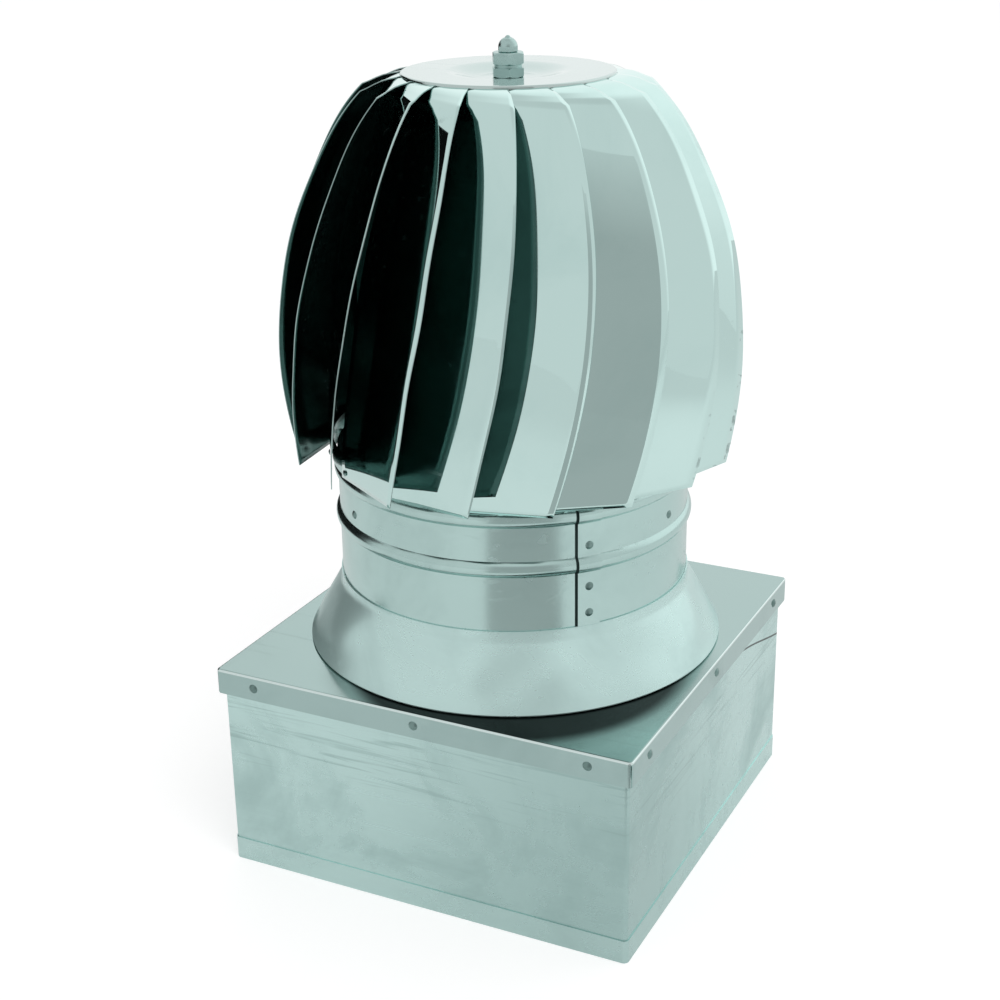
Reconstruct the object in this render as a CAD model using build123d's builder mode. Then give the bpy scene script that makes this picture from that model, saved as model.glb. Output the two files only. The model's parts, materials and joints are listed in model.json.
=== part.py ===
from build123d import *
import os
from math import atan2, cos, degrees, radians, sin

# Roof turbine ventilator: a rotating cowl of 18 twisted blades on a beaded
# neck tube, a conical skirt and a square sheet-metal base box.
# Millimetres, +Z up. The origin is the centre of the base box's lower rim.

# ---------------------------------------------------------------- sheet metal
sheet = 0.8                # body sheet
blade_sheet = 0.5          # springy polished strip
seat = 0.1                 # play between pieces fixed together on curved faces
hole_play = 0.1            # radial play of a rivet in its hole

# ---------------------------------------------------------------- base box
box_width = 250.0
box_height = 124.6
box_corner = 2.5
hem_height = 14.0
hem_step = 0.6             # the folded hem stands out from the wall
lap_width = 24.0           # the wall's inner lap at a rear corner
lap_inset = 18.0           # from the wall's corner to the middle of its lap
lap_drop = 18.6            # the lap ends this far below the lid, clear of its rivets
lap_rivet_count = 3

# ---------------------------------------------------------------- pan lid
lid_overhang = 3.0         # the lid stands this far out from the walls
lid_lip = 15.0
lid_corner = 2.5
lid_bend = 1.2
lid_slit = 0.7             # open corners of the folded lips
lid_rivet_drop = 7.5
lid_rivet_inset = 25.0     # from the lid's corner to its corner rivets

# ---------------------------------------------------------------- neck tube
neck_radius = 100.9
neck_length = 124.0
neck_drop = 5.6            # the tube's foot hangs this far below the box's top
flange_width = 12.1
bead_rise = 2.3
bead_half = 4.6
bead_drops = (40.0, 11.6)  # from the tube's top down to each bead
seam_angle = -44.5
seam_sweep = 7.5

# ---------------------------------------------------------------- skirt
skirt_height = 36.6
skirt_inset = 6.7          # from the lid's edge in to the skirt's rim
skirt_collar = 5.0
skirt_roll = 1.1           # radius of the rolled rim

# ---------------------------------------------------------------- bearings
spindle_radius = 5.0
bearing_radius = 13.0
bearing_width = 8.0
bearing_land = 2.0         # wall of each bearing ring beside the balls
ball_radius = 2.3
ball_count = 7
race_play = 0.3            # ball to groove

# ---------------------------------------------------------------- spider
spider_angle = -125.65
spider_arms = 3
spider_drop = 22.0         # from the tube's top down to the arms
spider_sheet = 2.5
spider_arm_width = 22.0
spider_hub_width = 13.0
spider_tab = 15.0
spider_rivet_drop = 6.4
housing_wall = 4.0
housing_length = 100.0
housing_below = 29.0       # from the arms down to the housing's foot
housing_lip = 1.0          # from each bearing out to the housing's end

# ---------------------------------------------------------------- rotor ring
ring_gap = 2.0             # from the neck tube out to the ring
ring_lift = 0.8            # from the upper bead up to the ring
ring_sheet = 1.0
ring_height = 12.2
ring_rivet_lift = 3.2      # from the ring's lower edge
ring_rivet_inset = 5.0     # from the strip's inner edge
strip_stand = 1.4          # the strip's outer face stands this far out at a rivet
ring_head = 1.8
ring_shank = 1.0

# ---------------------------------------------------------------- rotor blades
blade_count = 18
pitch = 360 / blade_count
foot_angle = 5.2           # free edge of blade 1 at its foot
twist = 13.0               # the free edge leads by this much at the crown
lead = 33.7                # from a strip's inner edge round to its free edge
blade_stations = 9
cowl_height = 213.4        # from the ring's lower edge to the top of the cap disc
# Onion profile of both edges, from the foot up: how far the edge stands out
# from the ring, and its height as a share of the cowl's.
free_bulge = ((21.7, 0.0244), (26.3, 0.3032), (17.8, 0.5914), (2.2, 0.7835), (-14.4, 0.9147))
inner_bulge = ((0.5, -0.0056), (0.9, 0.065), (-1.2, 0.2868), (-9.4, 0.5820), (-22.4, 0.7882))
free_crown = (22.0, 7.7)   # the free edge's end, out from the cap disc and below its top
inner_crown = (9.0, 7.2)   # the inner edge's end, tucked under the next strip

# ---------------------------------------------------------------- rotor discs
disc_radius = 58.0
dish_depth = 3.6           # the discs are drawn down by the spindle's nuts
dish_margin = 6.8          # from the nuts' corners out to the slope
dish_slope = 18.0
tab_width = 10.0
tab_length = 15.0
tab_inset = 1.0            # from the cap disc's edge
tab_play = 0.1
shoulder_lean = 2.5        # from the free edge's turn back to the shoulder's root
shoulder_sweep = 13.0      # the shoulder's width where it goes under the cap disc
inner_disc_lap = 8.0       # the inner disc reaches this far under the tabs

# ---------------------------------------------------------------- fasteners
nut_flats = 16.0
cap_nut_flats = 10.0
seat_nut_height = 5.0
spring_washer_height = 1.6
spring_washer_wall = 2.3
top_nut_height = 6.4
clamp_washer_height = 1.6
clamp_washer_wall = 5.9
clamp_nut_height = 8.0
end_nut_height = 6.0
thread_end = 4.0           # the spindle's end below its nut
cap_nut_hex = 3.0
cap_nut_height = 8.6
stub_step = 2.0            # the spindle is this much thinner inside the cap nut
stub_length = 5.0
shoulder_step = 2.0
shoulder_height = 4.0

# ---------------------------------------------------------------- levels and places
inside_width = box_width - 2 * sheet
lid_width = box_width + 2 * lid_overhang
lid_top = box_height + sheet
lap_center = lap_inset - box_width / 2
lap_top = box_height - lap_drop
neck_bore = neck_radius - sheet
neck_bottom = box_height - neck_drop
neck_top = neck_bottom + neck_length
bead_heights = tuple(neck_top - drop for drop in bead_drops)
skirt_neck_height = lid_top + skirt_height
skirt_rim_radius = lid_width / 2 - skirt_inset
spider_height = neck_top - spider_drop
housing_radius = bearing_radius + housing_wall
housing_bottom = spider_height - housing_below
housing_top = housing_bottom + housing_length
lower_bearing = housing_bottom + housing_lip
upper_bearing = housing_top - housing_lip - bearing_width
ball_circle = (spindle_radius + bearing_radius) / 2
ring_radius = neck_radius + ring_gap + ring_sheet
ring_bottom = bead_heights[-1] + bead_half + ring_lift
ring_rivet_height = ring_bottom + ring_rivet_lift
disc_top = ring_bottom + cowl_height
dish_top = disc_top - dish_depth
nut_bore = spindle_radius + seat

os.makedirs("parts", exist_ok=True)


def write(node, name):
    """Label a finished piece and write it."""
    node.part.label = name
    export_step(node.part, "parts/" + name + ".step")


def on_circle(radius, angle, height):
    """Point at a radius, a polar angle in degrees and a height."""
    return Vector(radius * cos(radians(angle)), radius * sin(radians(angle)), height)


def facing_out(radius, angle, height):
    """Plane that touches an upright cylinder, with its normal away from the axis."""
    return Plane(on_circle(radius, angle, height), x_dir=(0, 0, 1), z_dir=on_circle(1, angle, 0))


def meridian(angle):
    """Upright plane through the axis: x is the radius, y is the height."""
    return Plane((0, 0, 0), x_dir=on_circle(1, angle, 0), z_dir=on_circle(1, angle - 90, 0))


def make_rivet(head, shank, grip):
    """Blind rivet: a domed head above its plane, the shank and bulb below."""
    rise = 0.45 * head
    dome = (head**2 + rise**2) / (2 * rise)
    bulb = 1.3 * shank
    with BuildPart() as rivet:
        with BuildSketch(Plane.XZ):
            with BuildLine():
                Polyline(
                    (0, rise), (0, -grip - shank), (bulb, -grip - shank), (bulb, -grip),
                    (shank, -grip), (shank, 0), (head, 0),
                )
                RadiusArc((head, 0), (0, rise), -dome)
            make_face()
        revolve(axis=Axis.Z)
    return rivet.part


def make_nut(bottom, height, flats, bore, top_cut=0.9):
    """Hexagon nut with turned corners."""
    corner = flats / 2 / cos(radians(30))
    foot_cut = 0.9
    top = bottom + height
    with BuildPart() as nut:
        with BuildSketch(Plane.XY.offset(bottom)):
            RegularPolygon(flats / 2, 6, major_radius=False)
        extrude(amount=height)
        with BuildSketch(Plane.XZ):
            with BuildLine():
                Polyline(
                    (bore, bottom), (corner - 1.6 * foot_cut, bottom), (corner, bottom + foot_cut),
                    (corner, top - top_cut), (corner - 1.6 * top_cut, top), (bore, top),
                    close=True,
                )
            make_face()
        revolve(axis=Axis.Z, mode=Mode.INTERSECT)
    return nut


def make_washer(bottom, height, radius, bore):
    """Flat washer."""
    with BuildPart() as washer:
        with BuildSketch(Plane.XY.offset(bottom)):
            Circle(radius)
            Circle(bore, mode=Mode.SUBTRACT)
        extrude(amount=height)
    return washer


def make_race(bottom, inside, outside):
    """Bearing ring between two radii, with a groove for the balls."""
    middle = bottom + bearing_width / 2
    with BuildPart() as race:
        with BuildSketch(Plane.XZ):
            with Locations(((inside + outside) / 2, middle)):
                Rectangle(outside - inside, bearing_width)
            with Locations((ball_circle, middle)):
                Circle(ball_radius + race_play, mode=Mode.SUBTRACT)
        revolve(axis=Axis.Z)
    return race


def make_balls(bottom):
    """Ring of bearing balls."""
    with BuildPart() as balls:
        with Locations((0, 0, bottom + bearing_width / 2)):
            with PolarLocations(ball_circle, ball_count):
                Sphere(ball_radius)
    return balls


# ================================================================ rivet places
wall_head = 2.7
wall_shank = 1.6
lip_face = lid_width / 2
lid_grip = lid_overhang + sheet + seat
lid_row = (lid_rivet_inset - lip_face, 0.0, lip_face - lid_rivet_inset)
lid_rivet_places = [
    Plane(
        on_circle(lip_face, side, lid_top - lid_rivet_drop) + on_circle(step, side + 90, 0),
        x_dir=(0, 0, 1),
        z_dir=on_circle(1, side, 0),
    )
    for side in (0, 90, 180, 270)
    for step in lid_row
]
lap_rivet_step = (lap_top - hem_height) / lap_rivet_count
lap_rivet_places = [
    Plane(
        (lap_center, box_width / 2, hem_height + lap_rivet_step * (number + 0.5)),
        x_dir=(0, 0, 1),
        z_dir=(0, 1, 0),
    )
    for number in range(lap_rivet_count)
]

tube_head = 2.4
tube_shank = 1.5
lap_radius = neck_radius + sheet
collar_top = skirt_neck_height + skirt_collar
lap_spans = (
    (collar_top, bead_heights[0] - bead_half),
    (bead_heights[0] + bead_half, bead_heights[1] - bead_half),
)
seam_rivet_heights = (lap_spans[0][0] + 7.5, lap_spans[0][1] - 8.4, lap_spans[1][0] + 6.4)
seam_rivet_places = [
    facing_out(lap_radius, seam_angle + seam_sweep / 2, height) for height in seam_rivet_heights
]
arm_pitch = 360 / spider_arms
arm_angles = [spider_angle + arm_pitch * arm for arm in range(spider_arms)]
spider_rivet_places = [
    facing_out(neck_radius, angle, spider_height - spider_rivet_drop) for angle in arm_angles
]

# ================================================================ base box
# Four walls bent from one strip, a folded hem that stands out a little along
# the lower rim, and a riveted lap inside the rear left corner.
with BuildPart() as base_box:
    with BuildSketch():
        RectangleRounded(box_width, box_width, box_corner)
        RectangleRounded(inside_width, inside_width, box_corner - sheet, mode=Mode.SUBTRACT)
    extrude(amount=box_height)
    with BuildSketch():
        hem_width = box_width + 2 * hem_step
        hem_inside = inside_width - 2 * sheet
        RectangleRounded(hem_width, hem_width, box_corner + hem_step)
        RectangleRounded(hem_inside, hem_inside, box_corner - sheet, mode=Mode.SUBTRACT)
    extrude(amount=hem_height)
    with BuildSketch(Plane.XY.offset(hem_height)):
        with Locations((lap_center, box_width / 2 - 1.5 * sheet)):
            Rectangle(lap_width, sheet)
    extrude(amount=lap_top - hem_height)
    for place in lap_rivet_places:
        with BuildSketch(place):
            Circle(wall_shank + hole_play)
        extrude(amount=-2 * sheet, mode=Mode.SUBTRACT)
    for place in lid_rivet_places:
        with BuildSketch(place):
            Circle(wall_shank + hole_play)
        extrude(amount=-lid_grip - hem_step, mode=Mode.SUBTRACT)
write(base_box, "base_box")

lap_rivet = make_rivet(wall_head, wall_shank, 2 * sheet + seat)
with BuildPart() as box_lap_rivets:
    with Locations(*lap_rivet_places):
        add(lap_rivet)
write(box_lap_rivets, "box_lap_rivets")

# ================================================================ pan lid
# Square pan turned down over the box, with slit corners and a round hole for
# the neck tube.
with BuildPart() as lid:
    with BuildSketch(Plane.XY.offset(lid_top)):
        RectangleRounded(lid_width, lid_width, lid_corner)
    extrude(amount=-lid_lip)
    fillet(lid.faces().sort_by(Axis.Z)[-1].edges(), radius=lid_bend)
    with BuildSketch(Plane.XY.offset(box_height)):
        pan_width = lid_width - 2 * sheet
        RectangleRounded(pan_width, pan_width, lid_corner - sheet)
    extrude(amount=-lid_lip, mode=Mode.SUBTRACT)
    with BuildSketch(Plane.XY.offset(lid_top)):
        Circle(neck_radius + seat)
    extrude(amount=-lid_lip, mode=Mode.SUBTRACT)
    for corner in (45, 135, 225, 315):
        across = on_circle(1, corner, 0)
        with BuildSketch(Plane((0, 0, box_height - lid_bend), x_dir=across, z_dir=(0, 0, 1))):
            with Locations((lid_width / 2**0.5, 0)):
                Rectangle(8 * lid_corner, lid_slit)
        extrude(amount=-lid_lip, mode=Mode.SUBTRACT)
    for place in lid_rivet_places:
        with BuildSketch(place):
            Circle(wall_shank + hole_play)
        extrude(amount=-sheet, mode=Mode.SUBTRACT)
write(lid, "lid")

lid_rivet = make_rivet(wall_head, wall_shank, lid_grip)
with BuildPart() as lid_rivets:
    with Locations(*lid_rivet_places):
        add(lid_rivet)
write(lid_rivets, "lid_rivets")

# ================================================================ neck tube
# Rolled sheet with two outward beads, a flange under the lid and a riveted
# lap seam whose outer layer ends above the skirt.
neck_middle = (neck_bottom + neck_top) / 2
flange_radius = neck_radius + flange_width
bead_circle = (bead_half**2 + bead_rise**2) / (2 * bead_rise)
bead_center = neck_radius + bead_rise - bead_circle
with BuildPart() as neck_tube:
    with BuildSketch(Plane.XZ):
        with Locations((neck_radius - sheet / 2, neck_middle)):
            Rectangle(sheet, neck_length)
        with Locations(*[(bead_center, height) for height in bead_heights]):
            Circle(bead_circle)
        with Locations(*[(bead_center, height) for height in bead_heights]):
            Circle(bead_circle - sheet, mode=Mode.SUBTRACT)
        with Locations((neck_bore + 5 * sheet, neck_middle)):
            Rectangle(10 * sheet, neck_length, mode=Mode.INTERSECT)
        with Locations(((neck_bore + flange_radius) / 2, box_height - sheet / 2)):
            Rectangle(flange_radius - neck_bore, sheet)
    revolve(axis=Axis.Z)
    for low, high in lap_spans:
        with BuildSketch(meridian(seam_angle)):
            with Locations((neck_radius + sheet / 2, (low + high) / 2)):
                Rectangle(sheet, high - low)
        revolve(axis=Axis.Z, revolution_arc=seam_sweep)
    for place in seam_rivet_places + spider_rivet_places:
        with BuildSketch(place):
            Circle(tube_shank + hole_play)
        extrude(amount=-3 * sheet, mode=Mode.SUBTRACT)
write(neck_tube, "neck_tube")

seam_rivet = make_rivet(tube_head, tube_shank, 2 * sheet + 2 * seat)
with BuildPart() as seam_rivets:
    with Locations(*seam_rivet_places):
        add(seam_rivet)
write(seam_rivets, "seam_rivets")

# ================================================================ skirt
# Conical flashing between neck and lid, with a collar above and a rolled rim.
skirt_inside = neck_radius + seat
rim_height = lid_top + seat + skirt_roll
with BuildPart() as skirt:
    with BuildSketch(Plane.XZ):
        with BuildLine():
            Polyline(
                (skirt_inside, collar_top),
                (skirt_inside, skirt_neck_height),
                (skirt_rim_radius - sheet, rim_height),
                (skirt_rim_radius, rim_height),
                (skirt_inside + sheet, skirt_neck_height),
                (skirt_inside + sheet, collar_top),
                close=True,
            )
        make_face()
        with Locations((skirt_rim_radius - skirt_roll, rim_height)):
            Circle(skirt_roll)
    revolve(axis=Axis.Z)
write(skirt, "skirt")

# ================================================================ spider
# Three flat arms from a hub plate to tabs bent down along the tube's wall.
tab_radius = neck_bore - seat
tab_middle_height = spider_height + (spider_sheet - spider_tab) / 2
half_tab = degrees(spider_arm_width / 2 / tab_radius)
spider_grip = neck_radius - tab_radius + spider_sheet + seat
with BuildPart() as spider:
    with BuildSketch(Plane.XY.offset(spider_height)):
        Circle(housing_radius + spider_hub_width)
        for angle in arm_angles:
            along = on_circle(tab_radius / 2, angle, 0)
            with Locations(Location((along.X, along.Y, 0), (0, 0, angle))):
                Rectangle(tab_radius + spider_arm_width, spider_arm_width)
        Circle(tab_radius - spider_sheet / 2, mode=Mode.INTERSECT)
        Circle(housing_radius + seat, mode=Mode.SUBTRACT)
    extrude(amount=spider_sheet)
    for angle in arm_angles:
        with BuildSketch(meridian(angle - half_tab)):
            with Locations((tab_radius - spider_sheet / 2, tab_middle_height)):
                Rectangle(spider_sheet, spider_tab + spider_sheet)
        revolve(axis=Axis.Z, revolution_arc=2 * half_tab)
    for place in spider_rivet_places:
        with BuildSketch(place):
            Circle(tube_shank + hole_play)
        extrude(amount=-spider_grip - sheet, mode=Mode.SUBTRACT)
write(spider, "spider")

spider_rivet = make_rivet(tube_head, tube_shank, spider_grip)
with BuildPart() as spider_rivets:
    with Locations(*spider_rivet_places):
        add(spider_rivet)
write(spider_rivets, "spider_rivets")

# ================================================================ bearing housing
# Tube welded into the spider, bored out at both ends for the ball bearings.
bearing_seat = bearing_radius + seat
with BuildPart() as bearing_housing:
    with BuildSketch(Plane.XY.offset(housing_bottom)):
        Circle(housing_radius)
        Circle(bearing_radius - bearing_land, mode=Mode.SUBTRACT)
    extrude(amount=housing_length)
    with BuildSketch(Plane.XY.offset(housing_bottom)):
        Circle(bearing_seat)
    extrude(amount=bearing_width + housing_lip, mode=Mode.SUBTRACT)
    with BuildSketch(Plane.XY.offset(housing_top)):
        Circle(bearing_seat)
    extrude(amount=-bearing_width - housing_lip, mode=Mode.SUBTRACT)
    chamfer(bearing_housing.edges().group_by(Axis.Z)[-1].sort_by(SortBy.RADIUS)[-1], 0.6)
write(bearing_housing, "bearing_housing")

outer_land = bearing_radius - bearing_land
inner_land = spindle_radius + bearing_land
write(make_race(lower_bearing, outer_land, bearing_radius), "lower_bearing_outer")
write(make_race(upper_bearing, outer_land, bearing_radius), "upper_bearing_outer")
write(make_balls(lower_bearing), "lower_bearing_balls")
write(make_balls(upper_bearing), "upper_bearing_balls")
write(make_race(lower_bearing, nut_bore, inner_land), "lower_bearing_inner")
write(make_race(upper_bearing, nut_bore, inner_land), "upper_bearing_inner")

# ================================================================ spindle
# Rod fixed to the cowl. Its shoulder rests on the upper inner race and its
# end nut holds the lower one.
top_nut_bottom = dish_top + seat_nut_height + spring_washer_height
spindle_top = top_nut_bottom + top_nut_height
shoulder_bottom = upper_bearing + bearing_width
shoulder_top = shoulder_bottom + shoulder_height
end_nut_bottom = lower_bearing - end_nut_height
thread_foot = end_nut_bottom - thread_end
stub_radius = spindle_radius - stub_step
with BuildPart() as spindle:
    with BuildSketch(Plane.XZ):
        with BuildLine():
            Polyline(
                (0, thread_foot),
                (spindle_radius - 1, thread_foot),
                (spindle_radius, thread_foot + 1),
                (spindle_radius, shoulder_bottom),
                (spindle_radius + shoulder_step, shoulder_bottom),
                (spindle_radius + shoulder_step, shoulder_top),
                (spindle_radius, shoulder_top),
                (spindle_radius, spindle_top),
                (stub_radius, spindle_top),
                (stub_radius, spindle_top + stub_length),
                (0, spindle_top + stub_length),
                close=True,
            )
        make_face()
    revolve(axis=Axis.Z)
write(spindle, "spindle")
write(make_nut(end_nut_bottom, end_nut_height, nut_flats, nut_bore), "spindle_end_nut")

# ================================================================ cowl discs
# The blades' tabs lie between the dished cap disc and an inner disc, clamped
# by the spindle's nuts.
tab_top = disc_top - sheet - tab_play
tab_outer = disc_radius - tab_inset
tab_inner = tab_outer - tab_length
inner_disc_drop = sheet + 2 * tab_play + blade_sheet
dish_radius = nut_flats / 2 / cos(radians(30)) + dish_margin
slope_radius = dish_radius + dish_slope


def make_disc(lower_by, dish_by, radius):
    """Dished disc whose flat rim is lowered from the cap disc's."""
    rim = disc_top - lower_by
    dish = dish_top - dish_by
    with BuildPart() as disc:
        with BuildSketch(Plane.XZ):
            with BuildLine():
                Polyline(
                    (nut_bore, dish), (dish_radius, dish), (slope_radius, rim), (radius, rim),
                    (radius, rim - sheet), (slope_radius, rim - sheet),
                    (dish_radius, dish - sheet), (nut_bore, dish - sheet),
                    close=True,
                )
            make_face()
        revolve(axis=Axis.Z)
    return disc


cap_disc = make_disc(0, 0, disc_radius)
write(cap_disc, "cap_disc")
inner_disc = make_disc(inner_disc_drop, sheet, tab_inner + inner_disc_lap)
write(inner_disc, "inner_disc")

# ================================================================ cowl fasteners
clamp_washer_bottom = dish_top - 2 * sheet - clamp_washer_height
clamp_nut_bottom = clamp_washer_bottom - clamp_nut_height
write(
    make_washer(
        clamp_washer_bottom, clamp_washer_height, nut_bore + clamp_washer_wall, nut_bore
    ),
    "clamp_washer",
)
write(make_nut(clamp_nut_bottom, clamp_nut_height, nut_flats, nut_bore), "clamp_nut")
write(make_nut(dish_top, seat_nut_height, nut_flats, nut_bore, 0.3), "seat_nut")
write(
    make_washer(
        dish_top + seat_nut_height, spring_washer_height, nut_bore + spring_washer_wall, nut_bore
    ),
    "spring_washer",
)
write(make_nut(top_nut_bottom, top_nut_height, nut_flats, nut_bore), "top_nut")

# small cap nut: hexagon foot, dome and a pip
cap_nut_corner = cap_nut_flats / 2 / cos(radians(30))
dome_radius = cap_nut_flats / 2 + 0.2
pip_radius = 1.5
with BuildPart() as cap_nut:
    with BuildSketch(Plane.XY.offset(spindle_top)):
        RegularPolygon(cap_nut_flats / 2, 6, major_radius=False)
    extrude(amount=cap_nut_hex)
    chamfer(cap_nut.edges().group_by(Axis.Z)[0], 0.4)
    with BuildSketch(Plane.XZ):
        with BuildLine():
            dome_foot = spindle_top + cap_nut_hex - 0.4
            dome_peak = spindle_top + cap_nut_height - 0.9
            Polyline((0, dome_peak), (0, dome_foot), (dome_radius, dome_foot))
            RadiusArc((dome_radius, dome_foot), (0, dome_peak), -dome_radius)
        make_face()
        with Locations((0, spindle_top + cap_nut_height - pip_radius)):
            Circle(pip_radius)
        with Locations((-dome_radius, dome_peak)):
            Rectangle(2 * dome_radius, 8 * pip_radius, mode=Mode.SUBTRACT)
    revolve(axis=Axis.Z)
    with BuildSketch(Plane.XY.offset(spindle_top)):
        Circle(stub_radius + seat)
    extrude(amount=stub_length + seat, mode=Mode.SUBTRACT)
write(cap_nut, "cap_nut")

# ================================================================ blades
# Each blade is one twisted strip. At every height its section is a straight
# line from the inner edge, where it leaves the ring at a tangent, out to the
# free edge. Both edges follow onion-shaped profiles and turn with height. At
# the crown a shoulder bends over to the tab between the discs.
free_edge = [(ring_radius + out, ring_bottom + cowl_height * share) for out, share in free_bulge]
free_edge.append((disc_radius + free_crown[0], disc_top - free_crown[1]))
inner_edge = [(ring_radius + out, ring_bottom + cowl_height * share) for out, share in inner_bulge]
inner_edge.append((disc_radius + inner_crown[0], disc_top - inner_crown[1]))
free_profile = Spline(*free_edge)
inner_profile = Spline(*inner_edge)
foot_height = free_edge[0][1]
crown_height = free_edge[-1][1]


def turn_at(height):
    """Angle of the free edge at a height: the twist fades out towards the crown."""
    rise = min(1.0, (height - foot_height) / (crown_height - foot_height))
    return foot_angle + twist * (1 - (1 - rise) ** 2)


def free_point(along):
    """Point of the free edge, from 0 at the foot to 1 at the crown."""
    place = free_profile @ along
    return on_circle(place.X, turn_at(place.Y), place.Y)


def inner_point(along):
    """Point of the inner edge, from 0 at the foot to 1 at the crown."""
    place = inner_profile @ along
    return on_circle(place.X, turn_at(place.Y) - lead, place.Y)


def strip_plane(along):
    """Section plane of the strip, with x towards the free edge."""
    before, after = max(0, along - 0.02), min(1, along + 0.02)
    across = (free_point(along) - inner_point(along)).normalized()
    climb = free_point(after) + inner_point(after) - free_point(before) - inner_point(before)
    climb = climb - across * climb.dot(across)
    middle = (free_point(along) + inner_point(along)) * 0.5
    return Plane(middle, x_dir=across, z_dir=climb)


inset_angle = degrees(atan2(ring_rivet_inset, ring_radius))
ring_rivet_turn = turn_at(ring_rivet_height) - lead + inset_angle
ring_rivet_places = [
    facing_out(ring_radius + strip_stand, ring_rivet_turn + pitch * number, ring_rivet_height)
    for number in range(blade_count)
]
root_turn = turn_at(crown_height) - shoulder_lean
tab_turn = root_turn - shoulder_sweep / 2
tab_middle = (tab_inner + tab_outer) / 2
tab_level = tab_top - blade_sheet / 2
root_free = on_circle(tab_outer, root_turn, tab_level)
root_inner = on_circle(tab_outer, root_turn - shoulder_sweep, tab_level)
shoulder_run = (root_free + root_inner - free_point(1) - inner_point(1)) * 0.5

with BuildPart() as strip:
    for station in range(blade_stations):
        along = station / (blade_stations - 1)
        across = free_point(along) - inner_point(along)
        with BuildSketch(strip_plane(along)):
            Rectangle(across.length, blade_sheet)
    loft()
    for free, inner in ((free_point(1), inner_point(1)), (root_free, root_inner)):
        across = free - inner
        inward = shoulder_run - across * (shoulder_run.dot(across) / across.dot(across))
        with BuildSketch(Plane((free + inner) * 0.5, x_dir=across, z_dir=inward)):
            Rectangle(across.length, blade_sheet)
    loft()
    with BuildSketch(Plane((0, 0, tab_top), x_dir=on_circle(1, tab_turn, 0), z_dir=(0, 0, 1))):
        with Locations((tab_middle, 0)):
            Rectangle(tab_outer - tab_inner, tab_width)
    extrude(amount=-blade_sheet)
    with BuildSketch(ring_rivet_places[0]):
        Circle(ring_shank + hole_play)
    extrude(amount=-strip_stand - ring_sheet, mode=Mode.SUBTRACT)

for number in range(blade_count):
    with BuildPart() as blade:
        add(strip.part, rotation=(0, 0, pitch * number))
    write(blade, f"blade_{number + 1:02d}")

# ================================================================ rotor ring
# Band that the strips are riveted to, round the top of the neck tube.
with BuildPart() as rotor_ring:
    with BuildSketch(Plane.XZ):
        with Locations((ring_radius - ring_sheet / 2, ring_bottom + ring_height / 2)):
            Rectangle(ring_sheet, ring_height)
    revolve(axis=Axis.Z)
    for place in ring_rivet_places:
        with BuildSketch(place):
            Circle(ring_shank + hole_play)
        extrude(amount=-strip_stand - ring_sheet - 1, mode=Mode.SUBTRACT)
write(rotor_ring, "rotor_ring")

ring_rivet = make_rivet(ring_head, ring_shank, strip_stand + ring_sheet + seat)
with BuildPart() as ring_rivets:
    with Locations(*ring_rivet_places):
        add(ring_rivet)
write(ring_rivets, "ring_rivets")
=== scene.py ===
import json
import math
import random

import bmesh
import bpy
import numpy as np
from mathutils import Matrix, Vector


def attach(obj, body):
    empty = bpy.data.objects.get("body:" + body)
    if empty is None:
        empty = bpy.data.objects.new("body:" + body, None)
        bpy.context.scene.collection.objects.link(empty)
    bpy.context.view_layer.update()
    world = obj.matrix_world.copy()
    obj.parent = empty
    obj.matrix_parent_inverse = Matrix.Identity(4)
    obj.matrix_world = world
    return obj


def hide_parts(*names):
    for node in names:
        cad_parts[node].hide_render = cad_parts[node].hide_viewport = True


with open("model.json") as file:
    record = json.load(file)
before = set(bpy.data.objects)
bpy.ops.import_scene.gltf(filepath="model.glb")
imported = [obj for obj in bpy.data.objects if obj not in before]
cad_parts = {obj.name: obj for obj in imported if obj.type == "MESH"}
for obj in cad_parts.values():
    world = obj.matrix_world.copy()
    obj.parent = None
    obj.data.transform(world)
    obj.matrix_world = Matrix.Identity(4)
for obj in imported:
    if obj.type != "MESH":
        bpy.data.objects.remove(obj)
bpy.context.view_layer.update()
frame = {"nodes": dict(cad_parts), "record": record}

# A roof turbine ventilator: polished strips between a cap disc and a ring turn
# over a beaded neck, a conical skirt and a square base box. Metres, +Z up.

MM = 0.001


# ------------------------------------------------------------------ sizes, in millimetres and degrees
# Base box and pan lid
BOX_HALF = 125.0
BOX_HEIGHT = 124.6
HEM_HEIGHT = 14.0
LID_TOP = BOX_HEIGHT + 0.8
LID_BEND = 1.2

# Neck tube, its beads and its lap seam
NECK_RADIUS = 100.9
NECK_SHEET = 0.8
NECK_BOTTOM = BOX_HEIGHT - 5.6
NECK_TOP = NECK_BOTTOM + 124.0
BEAD_RISE = 2.3
BEAD_HALF = 4.6
BEAD_HEIGHTS = (NECK_TOP - 40.0, NECK_TOP - 11.6)
SEAM_ANGLE = -44.5
SEAM_SWEEP = 7.5
SEAM_TOP = NECK_TOP - 6.6
# Dark strip of painted shade along the lap seam's edge: its sweep in degrees and its thickness
SEAM_SHADE_SWEEP = 0.75
SEAM_SHADE_SHEET = 0.3

# Skirt; a wave is its size, its number round the cone, its start and its lean
SKIRT_TOP = LID_TOP + 36.6
SKIRT_COLLAR = 5.0
SKIRT_PLAY = 0.1
SKIRT_RIM = 121.3
SKIRT_ROLL = 1.1
SKIRT_ROWS = 16
SKIRT_WAVES = ((0.8, 5, 1.0, 0), (0.8, 9, 2.4, 0), (0.5, 14, 0.0, 3))

# Ring and dished disc that hold the strips
RING_RADIUS = 103.9
RING_SHEET = 1.0
RING_BOTTOM = 236.8
RING_HEIGHT = 12.2
COWL_HEIGHT = 213.4
DISC_BORE = 5.1
DISC_RADIUS = 58.0
DISC_TOP = RING_BOTTOM + COWL_HEIGHT
DISH_DEPTH = 3.6
DISH_RADIUS = 16.04
SLOPE_RADIUS = DISH_RADIUS + 18.0
RIM_BEND = 1.1
DISC_STEPS = 40

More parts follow.
